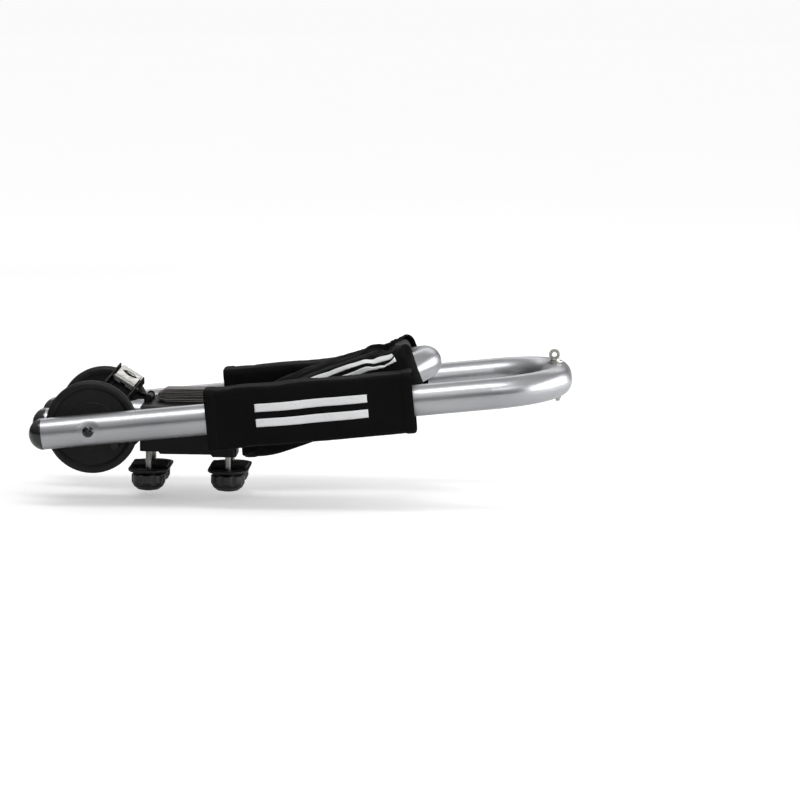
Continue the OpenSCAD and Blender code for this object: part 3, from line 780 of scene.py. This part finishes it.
def hem_bands(sleeve, name, body, width, lift):
    """The turned hems: a second layer of cloth over each end of the sleeve."""
    verts, faces, weave = [], [], []
    rows = width / sleeve.path.length * (sleeve.rows - 1)
    steps = 5
    for base in (0.0, sleeve.rows - 1 - rows):
        first = len(verts)
        for i in range(steps + 1):
            edge = min(i, steps - i)
            height = lift if edge > 0 else 0.15 * MM
            for j in range(AROUND):
                p, _ = sleeve.point(base + rows * i / steps, j, height)
                verts.append(p)
                weave.append((width * i / steps, sleeve.perimeter * j / AROUND))
        for face in tube_grid_faces(steps + 1, AROUND):
            face = tuple(first + v for v in face)
            faces.append(face if sleeve.path.side > 0 else tuple(reversed(face)))
    obj = make_object(name, verts, faces, "pad_cloth", body)
    store_weave(obj, weave)
    return obj


def print_bar(sleeve, verts, faces, rows, columns, lift):
    """A printed bar on the sleeve between two rows and two columns."""
    n_rows = max(2, int(abs(rows[1] - rows[0]) / 0.8))
    n_columns = max(2, int(abs(columns[1] - columns[0]) / 0.8))
    first = len(verts)
    for i in range(n_rows + 1):
        for j in range(n_columns + 1):
            row = rows[0] + (rows[1] - rows[0]) * i / n_rows
            column = columns[0] + (columns[1] - columns[0]) * j / n_columns
            p, _ = sleeve.point(row, column, lift)
            verts.append(p)
    for i in range(n_rows):
        for j in range(n_columns):
            a = first + i * (n_columns + 1) + j
            face = (a, a + 1, a + n_columns + 2, a + n_columns + 1)
            faces.append(face if sleeve.path.side > 0 else tuple(reversed(face)))


def print_bars(sleeve, name, body, bars):
    """The sleeve's reflective bars."""
    verts, faces = [], []
    for s0, s1, t0, t1 in bars:
        rows = (s0 * (sleeve.rows - 1), s1 * (sleeve.rows - 1))
        print_bar(sleeve, verts, faces, rows, (t0 * AROUND, t1 * AROUND), 0.12 * MM)
    obj = make_object(name, verts, faces, "print", body)
    sheet = obj.modifiers.new("sheet", "SOLIDIFY")
    sheet.thickness = 0.15 * MM
    sheet.offset = 1
    apply_modifiers(obj)
    return obj


# ---------------------------------------------------------------- the four pads

HEM = 11 * MM
HEM_LIFT = 0.9 * MM
HEM_SEAM = HEM - 2.2 * MM
LONG_SEAM = 0.93
CLOTH_T = 0.9 * MM
CLOTH_GAP = 0.3 * MM
# Reflective bars: from, to along the sleeve, then from, to round it, all as shares
OUTER_BARS = [(0.24, 0.78, 0.195, 0.238), (0.24, 0.78, 0.275, 0.318)]
INNER_BARS = [(0.46, 0.92, 0.345, 0.375), (0.46, 0.92, 0.4, 0.43)]


def sew(sleeve, name, body):
    """Hems and stitching common to every sleeve."""
    hem_bands(sleeve, name + "_hems", body, HEM, HEM_LIFT)
    verts, faces = [], []
    for distance in (HEM_SEAM, -HEM_SEAM):
        ring_stitches(sleeve, verts, faces, distance)
    long_stitches(sleeve, verts, faces, AROUND * LONG_SEAM)
    make_object(name + "_stitches", verts, faces, "thread", body)


def outer_pad(side, word):
    """A firm sleeve on an outer leg; side is -1 or 1 along Y."""
    path = StraightPath(side)
    foam_size = (PAD_W - 5 * MM, PAD_H - 5 * MM, 6 * MM)
    sleeve = Sleeve(path, PAD_W - 1.6 * MM, PAD_H - 1.6 * MM, 7 * MM)
    sleeve.disturb(0.7 * MM, 24, 3.0 + side)
    sleeve.simulate(pressure=0.9, growth=0.012, cap=2.6 * MM, frames=14, stiffness=18)
    sleeve.keep_outside(*foam_size, CLOTH_T + CLOTH_GAP)
    sleeve.limit(PAD_W / 2 + 0.6 * MM, PAD_H / 2 + 0.8 * MM)
    sleeve.freeze()
    name = f"outer_pad_{word}"
    cover = sleeve_object(sleeve, name + "_sleeve", "folding_arm", CLOTH_T)
    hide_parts(f"outer_cover_{word}")
    foam = foam_object(path, name + "_foam", "folding_arm", *foam_size)
    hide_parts(f"outer_foam_{word}")
    sew(sleeve, name, "folding_arm")
    print_bars(sleeve, name + "_print", "folding_arm", OUTER_BARS)


def inner_pad(side, word):
    """A loose, wrinkled sleeve on an inner leg; side is -1 or 1 along Y."""
    path = CurvedPath(side)
    foam_size = (PAD_W - 9 * MM, PAD_H - 12 * MM, 8 * MM)
    sleeve = Sleeve(path, PAD_W - 4 * MM, PAD_H - 5 * MM, 9 * MM)
    sleeve.disturb(1.8 * MM, 42, 11.0 + 5 * side)
    sleeve.simulate(pressure=0.5, growth=0.05, cap=6 * MM, frames=16, stiffness=10)
    sleeve.keep_outside(*foam_size, CLOTH_T + CLOTH_GAP)
    sleeve.limit(PAD_W / 2 + 0.6 * MM, PAD_H / 2 + 2.5 * MM)
    sleeve.freeze()
    name = f"inner_pad_{word}"
    cover = sleeve_object(sleeve, name + "_sleeve", "base", CLOTH_T)
    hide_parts(f"inner_cover_{word}")
    foam = foam_object(path, name + "_foam", "base", *foam_size)
    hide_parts(f"inner_foam_{word}")
    sew(sleeve, name, "base")
    print_bars(sleeve, name + "_print", "base", INNER_BARS)


# ---------------------------------------------------------------- webbing


def ribbon(name, stations, thickness, material, body):
    """A band through stations, each (centre, across, half width); weave runs along it."""
    verts, faces, weave = [], [], []
    distance = 0.0
    columns = 8
    previous = None
    normals = []
    for i, (centre, across, half) in enumerate(stations):
        ahead = stations[min(i + 1, len(stations) - 1)][0] - stations[max(i - 1, 0)][0]
        normals.append(ahead.cross(across).normalized())
    for i, (centre, across, half) in enumerate(stations):
        if previous is not None:
            distance += (centre - previous).length
        previous = centre
        for face_side in (1, -1):
            for j in range(columns + 1):
                x = (j / columns * 2 - 1) * face_side
                edge = 1 - 0.35 * max(0.0, abs(x) - 0.8) / 0.2
                lift = normals[i] * (face_side * thickness / 2 * edge)
                verts.append(centre + across * (half * x) + lift)
                weave.append((distance, half * x))
    ring = 2 * (columns + 1)
    for i in range(len(stations) - 1):
        for j in range(ring):
            k = (j + 1) % ring
            faces.append((i * ring + j, i * ring + k, (i + 1) * ring + k, (i + 1) * ring + j))
    faces.append(tuple(reversed(range(ring))))
    faces.append(tuple((len(stations) - 1) * ring + j for j in range(ring)))
    obj = make_object(name, verts, faces, material, body)
    store_weave(obj, weave)
    return obj


WEB_HALF = 12.5 * MM
WEB_T = 1.5 * MM


def smooth(t):
    t = min(max(t, 0.0), 1.0)
    return t * t * (3 - 2 * t)


def strap_bundle():
    """Webbing folded to and fro in a flat pack on the base cap, pinched where it is tied."""
    low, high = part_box("strap_bundle")
    layers = 8
    pitch = (high.z - low.z - WEB_T) / (layers - 1)
    tie = low.z + 0.42 * (high.z - low.z)
    across = Vector((0, 1, 0))
    stations = []
    for k in range(layers):
        z = low.z + WEB_T / 2 + pitch * k
        left = low.x + 3.5 * MM + 2 * MM * noise.noise(Vector((k * 1.7, 3.1, 0)))
        right = high.x - 5 * MM + 4 * MM * noise.noise(Vector((k * 2.3, 9.2, 0)))
        ends = (left, right) if k % 2 == 0 else (right, left)
        for i in range(29):
            t = i / 28
            x = ends[0] + (ends[1] - ends[0]) * t
            shut = 1 - smooth((x - left) / (9 * MM))
            open_up = 1 - shut * (0.62 if z > tie else 0.35)
            wave = 0.2 * MM * noise.noise(Vector((x * 45, k * 0.35, 5)))
            y = 0.9 * MM * noise.noise(Vector((x * 9, k * 3.3, 1)))
            half = WEB_HALF * (0.72 + 0.28 * smooth((x - left) / (9 * MM)))
            stations.append((Vector((x, y, tie + (z - tie) * open_up + wave)), across, half))
        if k == layers - 1:
            break
        sign = 1 if k % 2 == 0 else -1
        pinched = 0.38 if z > tie else 0.65
        shrink, half = (1.0, WEB_HALF) if sign > 0 else (pinched, WEB_HALF * 0.72)
        for i in range(1, 6):
            a = -math.pi / 2 + math.pi * i / 6
            rise = pitch * shrink
            turn = Vector((sign * math.cos(a) * rise * 0.9, 0, rise / 2 * (1 + math.sin(a))))
            start = Vector((ends[1], 0, tie + (z - tie) * shrink))
            stations.append((start + turn, across, half))
    bundle = ribbon("strap_pack", stations, pitch * 0.9, "webbing", "base")
    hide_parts("strap_bundle")


def strap_loop():
    """Webbing round the anchor bar, twisting up to the buckle and threaded through it."""
    bar_low, bar_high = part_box("anchor_bar")
    bar = (bar_low + bar_high) / 2
    bar_r = (bar_high.z - bar_low.z) / 2 + WEB_T / 2 + 0.2 * MM

    def in_buckle(y, z):
        """A place in the buckle, y along the webbing and z out of its face, in mm."""
        return CAM_PIN + BUCKLE_UP * (y * MM) + BUCKLE_FACE * ((z - 0.5) * MM)

    across_bar = Vector((0, 1, 0))
    narrow = 9.5 * MM
    stations = []
    for i in range(14):
        a = math.radians(-130 + 187 * i / 13)
        stations.append((bar + Vector((math.cos(a), 0, math.sin(a))) * bar_r, across_bar, narrow))
    start = stations[-1][0]
    entry = in_buckle(-15, -8.6)
    steps = 22
    for i in range(1, steps + 1):
        t = i / steps
        sag = Vector((0, 0, 1.2 * MM)) * math.sin(math.pi * t)
        across = across_bar.lerp(CAM_AXIS, smooth(t / 0.45)).normalized()
        half = narrow + (11.8 * MM - narrow) * t - 3.4 * MM * math.sin(math.pi * min(t / 0.7, 1))
        stations.append((start.lerp(entry, t) + sag, across, half))
    path = [(-11, -7.8), (-8.6, -6.7), (-7.5, -5.3), (-5.8, -4.2), (-3, -4.0), (0, -4.0),
            (3, -4.0), (5.8, -4.2), (7.4, -5.2), (8.0, -6.6), (7.2, -7.8), (4, -8.3), (-2, -8.5)]
    for y, z in path:
        stations.append((in_buckle(y, z), CAM_AXIS, 11.8 * MM))
    loop = ribbon("strap_loop_web", stations, 0.8 * MM, "dark_webbing", "base")
    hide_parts("strap_loop")


# ---------------------------------------------------------------- stage


SENSOR = 36


def look_from(azimuth, elevation, roll, distance, width, aim_right, aim_up):
    """Camera at that viewing angle, in degrees; the picture is width metres wide at its aim."""
    azimuth, elevation, roll = (math.radians(v) for v in (azimuth, elevation, roll))
    back = Vector((math.sin(azimuth) * math.cos(elevation),
                   -math.cos(azimuth) * math.cos(elevation), math.sin(elevation)))
    right = Vector((math.cos(azimuth), math.sin(azimuth), 0))
    up = back.cross(right)
    cam = bpy.data.objects.new("camera", bpy.data.cameras.new("camera"))
    bpy.context.scene.collection.objects.link(cam)
    cam.data.sensor_width = SENSOR
    cam.data.lens = SENSOR * distance / width
    cam.data.clip_end = 50
    place = right * aim_right + up * aim_up + back * distance
    turn = (-back).to_track_quat("-Z", "Y").to_matrix().to_4x4()
    cam.matrix_world = Matrix.Translation(place) @ turn @ Matrix.Rotation(-roll, 4, "Z")
    bpy.context.scene.camera = cam


def panel(name, place, target, size, power):
    """A rectangular soft light, size in metres and power in watts."""
    light = bpy.data.lights.new(name, "AREA")
    light.shape = "RECTANGLE"
    light.size, light.size_y = size
    light.energy = power
    obj = bpy.data.objects.new(name, light)
    bpy.context.scene.collection.objects.link(obj)
    obj.location = place
    obj.rotation_mode = "QUATERNION"
    obj.rotation_quaternion = (Vector(target) - Vector(place)).to_track_quat("-Z", "Y")


def studio_world():
    """White behind the object; as a light it is bright overhead and dim near the horizon."""
    world = bpy.data.worlds.new("studio")
    world.use_nodes = True
    tree = world.node_tree
    parts = tree.nodes.new("ShaderNodeSeparateXYZ")
    tree.links.new(tree.nodes.new("ShaderNodeTexCoord").outputs["Generated"], parts.inputs[0])
    ramp = tree.nodes.new("ShaderNodeMapRange")
    for key, value in (("From Min", 0.1), ("From Max", 0.8), ("To Min", 0.05), ("To Max", 0.5)):
        ramp.inputs[key].default_value = value
    tree.links.new(parts.outputs[2], ramp.inputs["Value"])
    mix = tree.nodes.new("ShaderNodeMix")
    mix.inputs[3].default_value = 0.96
    tree.links.new(tree.nodes.new("ShaderNodeLightPath").outputs["Is Camera Ray"], mix.inputs[0])
    tree.links.new(ramp.outputs["Result"], mix.inputs[2])
    tree.nodes["Background"].inputs[0].default_value = (1, 1, 1, 1)
    tree.links.new(mix.outputs[0], tree.nodes["Background"].inputs[1])
    bpy.context.scene.world = world
    bpy.context.scene.view_settings.view_transform = "Standard"


def studio_floor():
    """Pale floor that takes a soft shadow and stays near white to the camera."""
    n = Nodes("studio_floor")
    mottled = n.noise(n.coords(), 3, 4)
    n.finish(n.mix(mottled, (0.78, 0.78, 0.78), (0.82, 0.82, 0.82)), 0.7,
             Specular_IOR_Level=0.1)
    n.bsdf.inputs["Emission Color"].default_value = (1, 1, 1, 1)
    parts = n.add("SeparateXYZ")
    n.link(n.coords(), parts.inputs[0])
    glow = n.ramp(parts.outputs[1], 0.4, 0.66, 0.9, 2.8)
    seen = n.add("LightPath").outputs["Is Camera Ray"]
    n.link(n.math("MULTIPLY", seen, glow), n.bsdf.inputs["Emission Strength"])
    floor_z = cad_low.z - CLAMP_DROP - 0.4 * MM
    reach = 14
    mesh = bpy.data.meshes.new("floor")
    mesh.from_pydata([(-reach, -reach, floor_z), (reach, -reach, floor_z),
                      (reach, reach, floor_z), (-reach, reach, floor_z)], [], [(0, 1, 2, 3)])
    floor = bpy.data.objects.new("floor", mesh)
    mesh.materials.append(n.material)
    bpy.context.scene.collection.objects.link(floor)


def camera_and_light():
    look_from(azimuth=1.82, elevation=7.35, roll=-0.6, distance=4.0, width=0.83446,
              aim_right=0.218, aim_up=0.043)
    middle = (0.14, 0, 0.02)
    panel("key", (-0.1, -0.7, 1.9), middle, (1.5, 0.5), 14)
    panel("front", (0.9, -2.2, 1.7), middle, (1.6, 0.5), 9)
    panel("rim", (0.1, 1.8, 1.1), middle, (2.4, 0.6), 7)
    panel("side", (1.9, 0.1, 0.45), (0.34, 0, 0.05), (2.6, 0.9), 30)
    studio_world()
    studio_floor()


# ---------------------------------------------------------------- build

dress_cad_nodes()
for side_sign, side_word in ((-1, "front"), (1, "rear")):
    outer_pad(side_sign, side_word)
    inner_pad(side_sign, side_word)
strap_bundle()
strap_loop()
camera_and_light()
